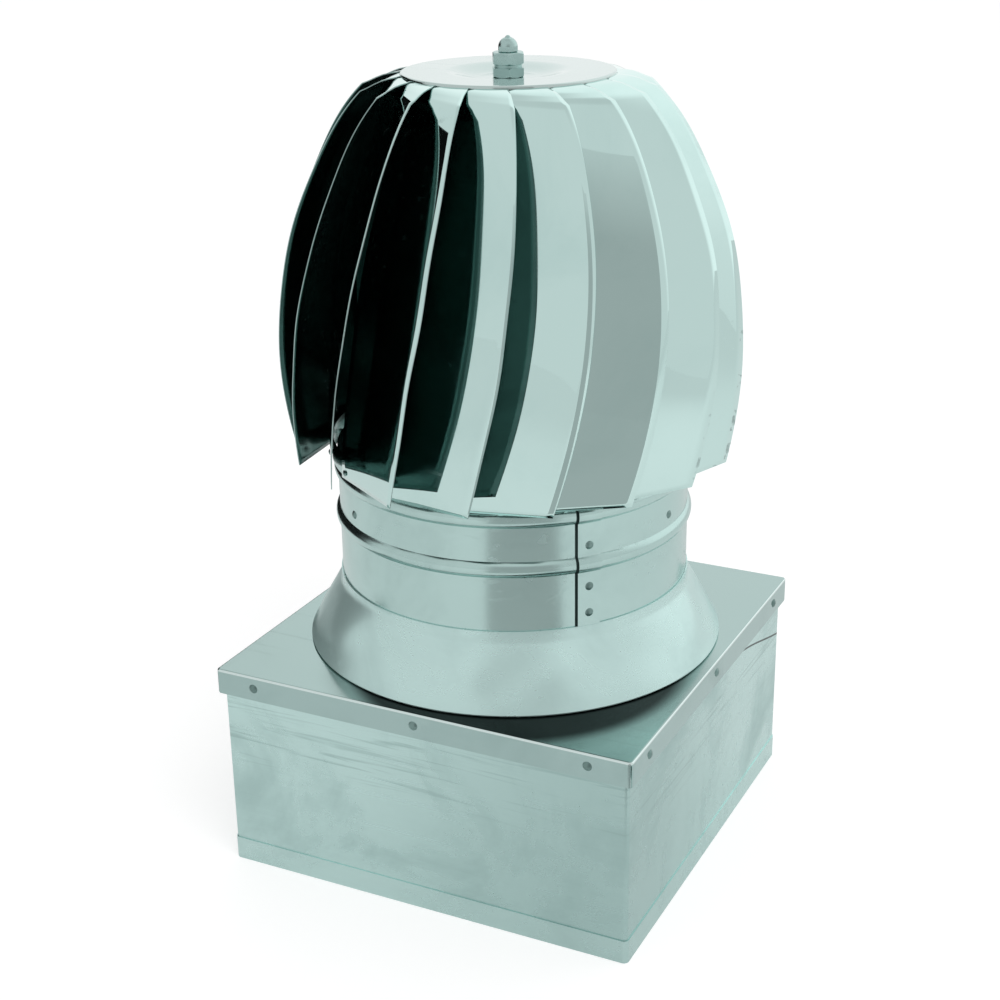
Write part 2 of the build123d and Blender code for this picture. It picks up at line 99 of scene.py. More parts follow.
# Strips; a bulge is a distance beyond the ring and a share of the cowl's height
BLADES = 18
FOOT_ANGLE = 5.2
TWIST = 13.0
LEAD = 33.7
STRIP_SHEET = 0.5
FREE_BULGE = ((21.7, 0.0244), (26.3, 0.3032), (17.8, 0.5914), (2.2, 0.7835), (-14.4, 0.9147))
INNER_BULGE = ((0.5, -0.0056), (0.9, 0.065), (-1.2, 0.2868), (-9.4, 0.5820), (-22.4, 0.7882))
FREE_CROWN = (DISC_RADIUS + 22.0, DISC_TOP - 7.7)
INNER_CROWN = (DISC_RADIUS + 9.0, DISC_TOP - 7.2)
SHOULDER_LEAN = 2.5
SHOULDER_SWEEP = 13.0
SHOULDER_SWELL = 1.2
TAB_WIDTH = 10.0
TAB_OUTER = DISC_RADIUS - 1.0
TAB_INNER = TAB_OUTER - 15.0
TAB_LEVEL = DISC_TOP - 0.9 - STRIP_SHEET / 2

# Waves of a strip: size in millimetres, rate in turns from foot to crown
WAVES = 3
WAVE_SIZES = (0.1, 0.35)
WAVE_RATES = (1.5, 4.0)
WAVE_TURN = 6.28
CLIMB_REACH = 0.01

# Points of a strip's grid
STRIP_ROWS = 72
STRIP_COLUMNS = 14
SHOULDER_ROWS = 6
FIRST_SEED = 100


# ------------------------------------------------------------------ camera
# Angles in radians, lens in millimetres
CAMERA_PLACE = Vector((425.65, -870.62, 587.14)) * MM
CAMERA_YAW = 0.463
CAMERA_PITCH = 0.377
CAMERA_ROLL = -0.0158
CAMERA_LENS = 64.24


def make_camera():
    """Camera at the viewing angle: yaw to the left, pitch down and a slight roll."""
    across = math.cos(CAMERA_PITCH)
    ahead = Vector((-math.sin(CAMERA_YAW) * across, math.cos(CAMERA_YAW) * across, -math.sin(CAMERA_PITCH)))
    right = Vector((math.cos(CAMERA_YAW), math.sin(CAMERA_YAW), 0))
    up = right.cross(ahead)
    rolled_right = right * math.cos(CAMERA_ROLL) + up * math.sin(CAMERA_ROLL)
    rolled_up = up * math.cos(CAMERA_ROLL) - right * math.sin(CAMERA_ROLL)
    camera = bpy.data.objects.new("camera", bpy.data.cameras.new("camera"))
    turn = Matrix((rolled_right, rolled_up, -ahead)).transposed().to_4x4()
    camera.matrix_world = Matrix.Translation(CAMERA_PLACE) @ turn
    camera.data.sensor_width = 36
    camera.data.lens = CAMERA_LENS
    camera.data.clip_start = 0.01
    bpy.context.scene.collection.objects.link(camera)
    bpy.context.scene.camera = camera


# ------------------------------------------------------------------ node helpers
ROLLED_RADIUS = 100 * MM


class Tree:
    """Short way to add and join nodes in one node tree."""

    def __init__(self, tree):
        self.tree = tree

    def add(self, kind, inputs=None, **settings):
        node = self.tree.nodes.new(kind)
        for name, value in settings.items():
            setattr(node, name, value)
        for name, value in (inputs or {}).items():
            self.set(node.inputs[name], value)
        return node

    def set(self, socket, value):
        if isinstance(value, bpy.types.NodeSocket):
            self.tree.links.new(value, socket)
        else:
            socket.default_value = value

    def math(self, operation, first, second=0.0):
        return self.add("ShaderNodeMath", {0: first, 1: second}, operation=operation).outputs[0]

    def mix(self, share, first, second):
        node = self.add("ShaderNodeMix", {0: share, 6: first, 7: second}, data_type="RGBA")
        return node.outputs[2]

    def spread(self, value, low, high, to_low=0.0, to_high=1.0):
        """Maps low..high to to_low..to_high, smoothly and clamped."""
        inputs = {0: value, 1: low, 2: high, 3: to_low, 4: to_high}
        return self.add("ShaderNodeMapRange", inputs, interpolation_type="SMOOTHSTEP").outputs[0]

    def noise(self, place, scale, detail=3.0, roughness=0.55, distortion=0.0):
        inputs = {
            "Vector": place,
            "Scale": scale,
            "Detail": detail,
            "Roughness": roughness,
            "Distortion": distortion,
        }
        return self.add("ShaderNodeTexNoise", inputs).outputs[0]

    def stretched(self, place, stretch):
        return self.add("ShaderNodeMapping", {"Vector": place, "Scale": stretch}).outputs[0]

    def cylinder(self, place):
        """Point of a sheet rolled about Z, laid flat: angle times radius, height."""
        split = self.add("ShaderNodeSeparateXYZ", {0: place})
        angle = self.math("ARCTAN2", split.outputs[1], split.outputs[0])
        around = self.math("MULTIPLY", angle, ROLLED_RADIUS)
        return self.add("ShaderNodeCombineXYZ", {0: around, 1: split.outputs[2]}).outputs[0]


def new_group(name, inputs, outputs):
    """Shader node group with float or vector sockets; returns it, its tree and ends."""
    group = bpy.data.node_groups.new(name, "ShaderNodeTree")
    kinds = {"float": "NodeSocketFloat", "vector": "NodeSocketVector"}
    for socket, kind, default in inputs:
        made = group.interface.new_socket(name=socket, in_out="INPUT", socket_type=kinds[kind])
        made.default_value = default
    for socket, kind in outputs:
        group.interface.new_socket(name=socket, in_out="OUTPUT", socket_type=kinds[kind])
    tree = Tree(group)
    return group, tree, tree.add("NodeGroupInput").outputs, tree.add("NodeGroupOutput").inputs


# ------------------------------------------------------------------ shared effects
def make_rolling_grain():
    """Fine lines left by the rolling mill, along X of the point."""
    group, tree, given, out = new_group(
        "rolling_grain",
        [("Point", "vector", (0, 0, 0)), ("Depth", "float", 0.5)],
        [("Mask", "float")],
    )
    fine = tree.noise(tree.stretched(given["Point"], (30, 900, 900)), 1.0, 2.0)
    broad = tree.noise(tree.stretched(given["Point"], (6, 160, 160)), 1.0, 2.0)
    lines = tree.math("ADD", tree.math("MULTIPLY", fine, 0.6), tree.math("MULTIPLY", broad, 0.4))
    tree.set(out["Mask"], tree.math("MULTIPLY", tree.math("SUBTRACT", lines, 0.5), given["Depth"]))
    return group


def make_handling_marks():
    """Blotches, smears and a few long scratches from bending and carrying the sheet."""
    group, tree, given, out = new_group(
        "handling_marks",
        [("Point", "vector", (0, 0, 0)), ("Size", "float", 1.0), ("Seed", "float", 0.0)],
        [("Blotches", "float"), ("Scratches", "float"), ("Swell", "float")],
    )
    shift = tree.add("ShaderNodeVectorMath", {0: given["Point"], 1: given["Seed"]}, operation="ADD")
    place = tree.add("ShaderNodeVectorMath", {0: shift.outputs[0], 3: given["Size"]}, operation="SCALE")
    blotch = tree.noise(place.outputs[0], 14.0, 5.0, 0.62, 0.6)
    tree.set(out["Blotches"], tree.spread(blotch, 0.42, 0.72))
    turned = tree.add(
        "ShaderNodeMapping",
        {"Vector": place.outputs[0], "Rotation": (0.3, 0.5, 0.45), "Scale": (7, 260, 260)},
    )
    scratch = tree.noise(turned.outputs[0], 1.0, 2.0, 0.4)
    patch = tree.spread(tree.noise(place.outputs[0], 9.0, 2.0), 0.42, 0.6)
    lines = tree.spread(scratch, 0.60, 0.70)
    tree.set(out["Scratches"], tree.math("MULTIPLY", lines, patch))
    tree.set(out["Swell"], tree.noise(place.outputs[0], 7.0, 1.0))
    return group


GRAIN = make_rolling_grain()
MARKS = make_handling_marks()


# ------------------------------------------------------------------ materials
materials = {}


def sheet_metal(
    name,
    colour,
    dark,
    roughness,
    seed,
    swell=0.0,
    grain=0.4,
    blotch=0.5,
    smear=0.5,
    scratch=0.1,
    rolled=False,
    size=1.0,
    metal=1.0,
):
    """Stainless sheet: grain, blotches and scratches in colour, roughness and bump. Swell is in metres."""
    material = bpy.data.materials.new(name)
    material.use_nodes = True
    material.node_tree.nodes.clear()
    tree = Tree(material.node_tree)
    place = tree.add("ShaderNodeTexCoord").outputs["Object"]
    along = tree.cylinder(place) if rolled else place
    lines = tree.add("ShaderNodeGroup", {"Point": along, "Depth": grain}, node_tree=GRAIN)
    marks = tree.add("ShaderNodeGroup", {"Point": place, "Size": size, "Seed": seed}, node_tree=MARKS)
    rolled_in = lines.outputs["Mask"]
    blotches = marks.outputs["Blotches"]
    scratches = marks.outputs["Scratches"]
    worn = tree.math("MULTIPLY", blotches, blotch)
    worn = tree.math("ADD", worn, tree.math("MULTIPLY", rolled_in, 0.6))
    worn = tree.math("MAXIMUM", worn, 0.0)
    base = tree.mix(worn, (*colour, 1), (*dark, 1))
    rough = tree.math("ADD", tree.math("MULTIPLY", blotches, smear * roughness), roughness)
    rough = tree.math("ADD", rough, tree.math("MULTIPLY", scratches, scratch))
    rough = tree.math("ADD", rough, tree.math("MULTIPLY", rolled_in, 0.4 * roughness))
    height = tree.math("MULTIPLY", marks.outputs["Swell"], swell)
    height = tree.math("ADD", height, tree.math("MULTIPLY", rolled_in, 0.02 * MM))
    height = tree.math("ADD", height, tree.math("MULTIPLY", scratches, -0.01 * MM))
    bump = tree.add("ShaderNodeBump", {"Strength": 1.0, "Distance": 1.0, "Height": height})
    shader = tree.add(
        "ShaderNodeBsdfPrincipled",
        {"Base Color": base, "Metallic": metal, "Roughness": rough, "Normal": bump.outputs[0]},
    )
    shader.name = "shader"
    output = tree.add("ShaderNodeOutputMaterial")
    tree.set(output.inputs[0], shader.outputs[0])
    materials[name] = material


def paint_over(name, make_mask, colour):
    """Lays a colour over a finish where a mask made from the object's own X, Y and Z says so."""
    node_tree = materials[name].node_tree
    tree = Tree(node_tree)
    place = tree.add("ShaderNodeSeparateXYZ", {0: tree.add("ShaderNodeTexCoord").outputs["Object"]})
    base = node_tree.nodes["shader"].inputs["Base Color"]
    below = base.links[0].from_socket
    tree.set(base, tree.mix(make_mask(tree, *place.outputs), below, (*colour, 1)))


# ---- strips: mirror outside; dull inside, painted dark as the shade and dark reflections within the rotor; grey cut edges
sheet_metal(
    "strip_outside",
    colour=(0.68, 0.90, 0.865),
    dark=(0.52, 0.74, 0.71),
    roughness=0.02,
    seed=3.0,
    swell=0.6 * MM,
    grain=0.05,
    blotch=0.35,
    smear=2.5,
    scratch=0.18,
    size=0.7,
)
# Painted shade: the insides are the same steel as the outsides, coloured dark for the shade and dark
# reflections within the rotor.
sheet_metal(
    "strip_inside_painted_shade",
    colour=(0.075, 0.135, 0.125),
    dark=(0.03, 0.05, 0.05),
    roughness=0.16,
    seed=9.0,
    swell=0.6 * MM,
    grain=0.2,
    blotch=0.4,
)
sheet_metal("strip_edge", colour=(0.44, 0.58, 0.56), dark=(0.30, 0.42, 0.40), roughness=0.25, seed=1.0)

# ---- cap disc: plain and pale
sheet_metal(
    "disc",
    colour=(0.60, 0.72, 0.70),
    dark=(0.50, 0.63, 0.61),
    roughness=0.10,
    seed=5.0,
    swell=0.4 * MM,
    grain=0.1,
    blotch=0.1,
    rolled=True,
)

# ---- base box: dull sheet with blotches, streaks, painted shade along a crease and a brighter hem
STREAK_HEIGHTS = (55.0, 85.0)
CREASE_START = 28.0
CREASE_END = 160.0
CREASE_TOP = 109.0
CREASE_DROP = 26.0

sheet_metal(
    "box",
    colour=(0.63, 0.85, 0.82),
    dark=(0.38, 0.55, 0.53),
    roughness=0.24,
    seed=2.0,
    swell=2.0 * MM,
    grain=0.35,
    blotch=0.55,
)


def wall_streaks(tree, x, y, z):
    """Dark rolled-in streaks along the upper part of the walls."""
    point = tree.add("ShaderNodeCombineXYZ", {0: x, 1: y, 2: z}).outputs[0]
    lines = tree.noise(tree.stretched(point, (9, 9, 240)), 1.0, 3.0, 0.6, 0.8)
    zone = tree.spread(z, STREAK_HEIGHTS[0] * MM, STREAK_HEIGHTS[1] * MM)
    return tree.math("MULTIPLY", tree.spread(lines, 0.54, 0.66, 0.0, 0.5), zone)


def darker_corner(tree, x, y, z):
    """The corner of the box at +X and -Y, darker towards that corner."""
    across = tree.math("SUBTRACT", x, y)
    return tree.spread(across, 60 * MM, 2 * BOX_HALF * MM, 0.0, 0.55)


def wall_crease_shade(tree, x, y, z):
    """Painted shade: a dark curved line along the crease under the lid on the +X wall."""
    run = tree.spread(y, CREASE_START * MM, CREASE_END * MM)
    middle = tree.math("SUBTRACT", CREASE_TOP * MM, tree.math("MULTIPLY", run, CREASE_DROP * MM))
    away = tree.math("ABSOLUTE", tree.math("SUBTRACT", z, middle))
    line = tree.spread(away, 0.8 * MM, 0.4 * MM)
    start = tree.spread(y, (CREASE_START - 2) * MM, (CREASE_START + 2) * MM)
    on_wall = tree.math("GREATER_THAN", x, (BOX_HALF - 0.5) * MM)
    return tree.math("MULTIPLY", tree.math("MULTIPLY", line, start), on_wall)


def hem_band(tree, x, y, z):
    """The folded hem along the lower rim."""
    return tree.spread(z, (HEM_HEIGHT + 0.2) * MM, (HEM_HEIGHT - 0.4) * MM, 0.0, 0.3)


paint_over("box", wall_streaks, colour=(0.34, 0.50, 0.48))
paint_over("box", darker_corner, colour=(0.36, 0.52, 0.50))
# Painted shade: a dark line along the crease under the lid.
paint_over("box", wall_crease_shade, colour=(0.04, 0.07, 0.065))
paint_over("box", hem_band, colour=(0.72, 0.92, 0.89))

# ---- pan lid: smooth lips with a painted highlight along the bend, a duller top, painted shade in a crescent before the skirt
# Painted shade crescent before the skirt: its turn, its shift and its spread in millimetres
SHADE_TURN = math.radians(-62)
SHADE_SHIFT = 52.0
SHADE_FULL = (90.0, 106.0)
SHADE_FAINT = (88.0, 118.0)

sheet_metal(
    "lid",
    colour=(0.45, 0.61, 0.59),
    dark=(0.32, 0.46, 0.44),
    roughness=0.14,
    seed=7.0,
    swell=1.2 * MM,
    grain=0.30,
    blotch=0.4,
)


def lid_top(tree, x, y, z):
    """The lid's flat top, without its bends and lips."""
    return tree.spread(z, (LID_TOP - 0.3) * MM, (LID_TOP - 0.1) * MM)


def bend_highlight(tree, x, y, z):
    """Painted highlight: a bright line along the lid's bends."""
    low = LID_TOP - LID_BEND
    bend = tree.spread(z, (low - 0.4) * MM, (low + 0.2) * MM, 0.0, 0.9)
    return tree.math("SUBTRACT", bend, lid_top(tree, x, y, z))


def shade_crescent(tree, x, y, z):
    """Painted shade: a dark crescent on the lid's top beside the skirt, for the shade and dark reflection
    under its raised rim; a shifted disc with a faint wider edge.
    """
    aside = tree.math("SUBTRACT", x, SHADE_SHIFT * MM * math.cos(SHADE_TURN))
    ahead = tree.math("SUBTRACT", y, SHADE_SHIFT * MM * math.sin(SHADE_TURN))
    squares = tree.math("ADD", tree.math("MULTIPLY", aside, aside), tree.math("MULTIPLY", ahead, ahead))
    away = tree.math("SQRT", squares)
    full = tree.spread(away, SHADE_FULL[1] * MM, SHADE_FULL[0] * MM)
    faint = tree.spread(away, SHADE_FAINT[1] * MM, SHADE_FAINT[0] * MM, 0.0, 0.45)
    return tree.math("MULTIPLY", tree.math("MAXIMUM", full, faint), lid_top(tree, x, y, z))


paint_over("lid", lid_top, colour=(0.40, 0.54, 0.52))
# Painted highlight along the lid's bends.
paint_over("lid", bend_highlight, colour=(0.85, 0.98, 0.96))
# Painted shade and dark reflection under the skirt's rim.
paint_over("lid", shade_crescent, colour=(0.008, 0.018, 0.017))

# ---- neck tube and ring: smooth rolled sheet
sheet_metal(
    "neck",
    colour=(0.56, 0.76, 0.73),
    dark=(0.40, 0.56, 0.54),
    roughness=0.18,
    seed=4.0,
    swell=2.0 * MM,
    grain=0.30,
    blotch=0.45,
    rolled=True,
)

# ---- skirt: satin, formed by hand and dulled by weather
sheet_metal(
    "skirt",
    colour=(0.63, 0.85, 0.82),
    dark=(0.46, 0.64, 0.62),
    roughness=0.27,
    seed=6.0,
    swell=3.0 * MM,
    grain=0.25,
    blotch=0.45,
    rolled=True,
    metal=0.6,
)

# ---- spider and bearing housing
sheet_metal("carrier", colour=(0.36, 0.44, 0.43), dark=(0.2, 0.25, 0.25), roughness=0.35, seed=8.0)

# ---- bearings
sheet_metal(
    "bearing", colour=(0.56, 0.64, 0.63), dark=(0.38, 0.44, 0.44), roughness=0.18, seed=1.5, rolled=True
)

# ---- rivets
sheet_metal("rivet", colour=(0.24, 0.36, 0.34), dark=(0.10, 0.16, 0.15), roughness=0.28, seed=2.5)

# ---- spindle, nuts and washers
sheet_metal(
    "fastener", colour=(0.56, 0.76, 0.73), dark=(0.26, 0.38, 0.37), roughness=0.22, seed=4.5, rolled=True
)

# ---- painted shade: a dark strip along the neck's lap seam, where the lap's edge stands open
sheet_metal("seam_shade", colour=(0.03, 0.05, 0.047), dark=(0.01, 0.02, 0.02), roughness=0.5, seed=3.5)

FINISH_OF_SLOT = {
    "box_sheet": "box",
    "neck_sheet": "neck",
    "carrier_steel": "carrier",
    "bearing_steel": "bearing",
    "rivet_steel": "rivet",
    "fastener_steel": "fastener",
    "blade_polish": "strip_outside",
    "disc_polish": "disc",
}


def dress_nodes():
    """Gives every CAD node the finish of its slot."""
    slots = {entry["node"]: entry["material_slot"] for entry in frame["record"]["subparts"]}
    for name, node in frame["nodes"].items():
        finish = FINISH_OF_SLOT[slots[name]]
        if name == "lid":
            finish = "lid"
        node.data.materials.clear()
        node.data.materials.append(materials[finish])


# ------------------------------------------------------------------ mesh helpers
def add_piece(name, mesh, body, replaced, finishes):
    """Links a mesh as a piece that rides on a body and may stand for a CAD node."""
    piece = bpy.data.objects.new(name, mesh)
    bpy.context.scene.collection.objects.link(piece)
    for finish in finishes:
        mesh.materials.append(materials[finish])
    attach(piece, body)
    if replaced:
        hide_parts(replaced)


def profile_curve(points):
    """Smooth curve through (radius, height) points, evenly spaced by length: returns a function of 0..1."""
    points = np.array(points, float)
    steps = np.hypot(*np.diff(points, axis=0).T)
    knots = np.concatenate(([0], np.cumsum(steps)))
    count = len(points)
    system = np.zeros((count, count))
    system[0, 0] = system[-1, -1] = 1
    right = np.zeros((count, 2))
    for row in range(1, count - 1):
        before, after = steps[row - 1], steps[row]
        system[row, row - 1 : row + 2] = (1 / before, 2 / before + 2 / after, 1 / after)
        slope_before = (points[row] - points[row - 1]) / before**2
        slope_after = (points[row + 1] - points[row]) / after**2
        right[row] = 3 * (slope_before + slope_after)
    for row, near, ends in ((0, slice(0, 4), 0), (count - 1, slice(-4, None), -1)):
        fit = np.polyfit(knots[near], points[near], 3)
        right[row] = [np.polyval(np.polyder(fit[:, axis]), knots[ends]) for axis in (0, 1)]
    slopes = np.linalg.solve(system, right)
    fine = []
    for row in range(count - 1):
        span = (points[row], points[row + 1], slopes[row], slopes[row + 1], steps[row])
        for share in np.linspace(0, 1, 60, endpoint=False):
            fine.append(hermite(*span, share))
    fine.append(points[-1])
    fine = np.array(fine)
    run = np.concatenate(([0], np.cumsum(np.hypot(*np.diff(fine, axis=0).T))))
    run /= run[-1]
    return lambda along: (np.interp(along, run, fine[:, 0]), np.interp(along, run, fine[:, 1]))


def hermite(start, end, slope_start, slope_end, step, share):
    """Point of one cubic span."""
    square, cube = share**2, share**3
    return (
        (2 * cube - 3 * square + 1) * start
        + (cube - 2 * square + share) * step * slope_start
        + (3 * square - 2 * cube) * end
        + (cube - square) * step * slope_end
    )


def polar(radius, angle, height):
    """Point at a radius, an angle in degrees and a height, all millimetres, in metres."""
    turn = math.radians(angle)
    return Vector((radius * math.cos(turn), radius * math.sin(turn), height)) * MM


# ------------------------------------------------------------------ blades
def edge_places(bulge, crown):
    """Radius and height of each point that an edge runs through."""
    return [(RING_RADIUS + out, RING_BOTTOM + COWL_HEIGHT * share) for out, share in bulge] + [crown]


free_profile = profile_curve(edge_places(FREE_BULGE, FREE_CROWN))
inner_profile = profile_curve(edge_places(INNER_BULGE, INNER_CROWN))
FOOT_HEIGHT = RING_BOTTOM + COWL_HEIGHT * FREE_BULGE[0][1]
CROWN_HEIGHT = FREE_CROWN[1]


def turn_at(height):
    """Angle of the free edge at a height; the twist fades out towards the crown."""
    rise = min(1.0, (height - FOOT_HEIGHT) / (CROWN_HEIGHT - FOOT_HEIGHT))
    return FOOT_ANGLE + TWIST * (1 - (1 - rise) ** 2)


def strip_point(across, along, turn):
    """Point of a strip's middle surface, 0..1 from inner to free edge and from foot to crown."""
    free_radius, free_height = free_profile(along)
    inner_radius, inner_height = inner_profile(along)
    free = polar(free_radius, turn_at(free_height) + turn, free_height)
    inner = polar(inner_radius, turn_at(inner_height) - LEAD + turn, inner_height)
    return inner.lerp(free, across)


def shoulder_point(across, along, turn):
    """Point of the bent shoulder, 0..1 from inner to free edge and from crown to cap disc."""
    root = turn_at(CROWN_HEIGHT) - SHOULDER_LEAN + turn
    free = polar(TAB_OUTER, root, TAB_LEVEL)
    inner = polar(TAB_OUTER, root - SHOULDER_SWEEP, TAB_LEVEL)
    point = strip_point(across, 1, turn).lerp(inner.lerp(free, across), along)
    point.z += SHOULDER_SWELL * MM * math.sin(math.pi * along) ** 2
    return point


def strip_grid(turn, chance):
    """Rows of points from the foot over the shoulder, with the slight waves of springy sheet."""
    waves = []
    for _ in range(WAVES):
        size = chance.uniform(*WAVE_SIZES)
        rate = chance.uniform(*WAVE_RATES)
        start = chance.uniform(0, WAVE_TURN)
        waves.append((size, rate, start))
    columns = [column / STRIP_COLUMNS for column in range(STRIP_COLUMNS + 1)]
    rows = []
    for row in range(STRIP_ROWS + 1):
        along = row / STRIP_ROWS
        wave = sum(size * math.sin(rate * WAVE_TURN * along + start) for size, rate, start in waves)
        wave = wave * math.sin(math.pi * along) * MM
        low = max(0, along - CLIMB_REACH)
        high = min(1, along + CLIMB_REACH)
        line = []
        for across in columns:
            climb = strip_point(across, high, turn) - strip_point(across, low, turn)
            width = strip_point(1, along, turn) - strip_point(0, along, turn)
            normal = width.cross(climb).normalized()
            line.append(strip_point(across, along, turn) + normal * wave * across**2)
        rows.append(line)
    for row in range(1, SHOULDER_ROWS + 1):
        rows.append([shoulder_point(across, row / SHOULDER_ROWS, turn) for across in columns])
    return rows


def grid_normals(rows):
    """Normal of the sheet at each point of a grid."""
    normals = []
    for row, line in enumerate(rows):
        below, above = rows[max(0, row - 1)], rows[min(len(rows) - 1, row + 1)]
        found = []
        for column in range(len(line)):
            left, right = line[max(0, column - 1)], line[min(len(line) - 1, column + 1)]
            found.append((right - left).cross(above[column] - below[column]).normalized())
        normals.append(found)
    return normals


def make_blade(number):
    """One polished strip with painted shade on its inside and a grey cut edge, each a little different."""
    turn = 360 / BLADES * (number - 1)
    rows = strip_grid(turn, random.Random(FIRST_SEED + number))
    normals = grid_normals(rows)
    build = bmesh.new()
    sheets = {}
    for side in (1, -1):
        shift = side * STRIP_SHEET / 2 * MM
        sheets[side] = [
            [build.verts.new(point + normal * shift) for point, normal in zip(line, found)]
            for line, found in zip(rows, normals)
        ]
    outer, inner = sheets[1], sheets[-1]
    last = len(rows) - 1

    def face(corners, finish):
        made = build.faces.new(corners)
        made.material_index = finish
        made.smooth = finish < 2

    for row in range(last):
        low, high = row, row + 1
        for left in range(STRIP_COLUMNS):
            right = left + 1
            face((outer[low][left], outer[low][right], outer[high][right], outer[high][left]), 0)
            face((inner[high][left], inner[high][right], inner[low][right], inner[low][left]), 1)
        face((outer[low][0], outer[high][0], inner[high][0], inner[low][0]), 2)
        face((inner[low][-1], inner[high][-1], outer[high][-1], outer[low][-1]), 2)
    for left in range(STRIP_COLUMNS):
        right = left + 1
        face((inner[0][left], inner[0][right], outer[0][right], outer[0][left]), 2)
        face((outer[last][left], outer[last][right], inner[last][right], inner[last][left]), 2)
    tab_turn = turn_at(CROWN_HEIGHT) - SHOULDER_LEAN - SHOULDER_SWEEP / 2 + turn
    matrix = Matrix.Translation(polar((TAB_INNER + TAB_OUTER) / 2, tab_turn, TAB_LEVEL))
    matrix = matrix @ Matrix.Rotation(math.radians(tab_turn), 4, "Z")
    matrix = matrix @ Matrix.Diagonal(Vector((TAB_OUTER - TAB_INNER, TAB_WIDTH, STRIP_SHEET, 1 / MM)) * MM)
    bmesh.ops.create_cube(build, size=1.0, matrix=matrix)
    mesh = bpy.data.meshes.new("strip")
    build.normal_update()
    build.to_mesh(mesh)
    build.free()
    name = f"blade_{number:02d}"
    finishes = ("strip_outside", "strip_inside_painted_shade", "strip_edge")
    add_piece("polished_" + name, mesh, "rotor", name, finishes)


# ------------------------------------------------------------------ turned sheet
def turned_mesh(name, outline, segments=256, start=0.0, sweep=360.0, dent=None):
    """Body of revolution, whole or in part, from a closed outline of (radius, height)."""
    build = bmesh.new()
    closed = sweep >= 360
    rings = []
    for step in range(segments if closed else segments + 1):
        angle = start + sweep * step / segments
        ring = []
        for radius, height in outline:
            out = dent(radius, angle) if dent else 0.0
            ring.append(build.verts.new(polar(radius + out, angle, height)))
        rings.append(ring)
    count = len(outline)
    for step in range(segments):
        near, far = rings[step], rings[(step + 1) % len(rings)]
        for corner in range(count):
            after = (corner + 1) % count
            build.faces.new((near[corner], far[corner], far[after], near[after]))
    if not closed:
        build.faces.new(rings[0][::-1])
        build.faces.new(rings[-1])
    bmesh.ops.recalc_face_normals(build, faces=build.faces)
    mesh = bpy.data.meshes.new(name)
    build.to_mesh(mesh)
    build.free()
    mesh.shade_smooth()
    mesh.set_sharp_from_angle(angle=math.radians(32))
    return mesh


def neck_outline(low, high, inward, outward):
    """Outline of the beaded wall between two heights, from one offset to another."""
    circle = (BEAD_HALF**2 + BEAD_RISE**2) / (2 * BEAD_RISE)
    heights = [low]
    for middle in BEAD_HEIGHTS:
        heights += [middle + BEAD_HALF * share / 10 for share in range(-10, 11)]
    heights = [height for height in heights if low <= height <= high] + [high]
    wall = []
    for height in heights:
        away = min(abs(height - middle) for middle in BEAD_HEIGHTS)
        rise = math.sqrt(circle**2 - away**2) - circle + BEAD_RISE if away < BEAD_HALF else 0.0
        wall.append((NECK_RADIUS + rise, height))
    outer = [(radius + outward, height) for radius, height in wall]
    inner = [(radius + inward, height) for radius, height in wall[::-1]]
    return outer + inner


def make_neck():
    """Rolled tube with two beads and a lap seam, with a dark strip of painted shade along its edge."""
    outline = neck_outline(NECK_BOTTOM, NECK_TOP, -NECK_SHEET, 0.0)
    wall = turned_mesh("beaded_neck", outline)
    add_piece("beaded_neck", wall, "base", "neck_tube", ["neck"])
    outline = neck_outline(SKIRT_TOP + SKIRT_COLLAR, SEAM_TOP, 0.0, NECK_SHEET)
    lap = turned_mesh("seam_lap", outline, 16, SEAM_ANGLE, SEAM_SWEEP)
    add_piece("seam_lap", lap, "base", None, ["neck"])
    outline = neck_outline(SKIRT_TOP + SKIRT_COLLAR, SEAM_TOP, 0.0, SEAM_SHADE_SHEET)
    seam_shade = turned_mesh("seam_shade_strip", outline, 3, SEAM_ANGLE - SEAM_SHADE_SWEEP, SEAM_SHADE_SWEEP)
    add_piece("seam_shade_strip", seam_shade, "base", None, ["seam_shade"])


def skirt_dent(radius, angle):
    """Soft dents of a hand-formed cone, none at its collar and rim."""
    share = (radius - NECK_RADIUS) / (SKIRT_RIM - NECK_RADIUS)
    turn = math.radians(angle)
    waves = 0.0
    for size, rate, start, lean in SKIRT_WAVES:
        waves += size * math.sin(rate * turn + start + lean * share)
    return waves * math.sin(math.pi * min(1, max(0, share))) ** 2


def make_skirt():
    """Conical flashing with a collar and a rolled rim."""
    inside = NECK_RADIUS + SKIRT_PLAY
    outside = inside + NECK_SHEET
    collar_top = SKIRT_TOP + SKIRT_COLLAR
    middle = LID_TOP + SKIRT_PLAY + SKIRT_ROLL
    roll_middle = SKIRT_RIM - SKIRT_ROLL
    cone = []
    for row in range(SKIRT_ROWS + 1):
        share = row / SKIRT_ROWS
        cone.append((outside + (SKIRT_RIM - outside) * share, SKIRT_TOP + (middle - SKIRT_TOP) * share))
    roll = []
    for step in range(1, 13):
        turn = math.radians(-15 * step)
        roll.append((roll_middle + SKIRT_ROLL * math.cos(turn), middle + SKIRT_ROLL * math.sin(turn)))
    back = [(radius - NECK_SHEET, height) for radius, height in cone[-3::-1]]
    outline = [(outside, collar_top)] + cone + roll + back + [(inside, collar_top)]
    mesh = turned_mesh("conical_skirt", outline, dent=skirt_dent)
    add_piece("conical_skirt", mesh, "base", "skirt", ["skirt"])


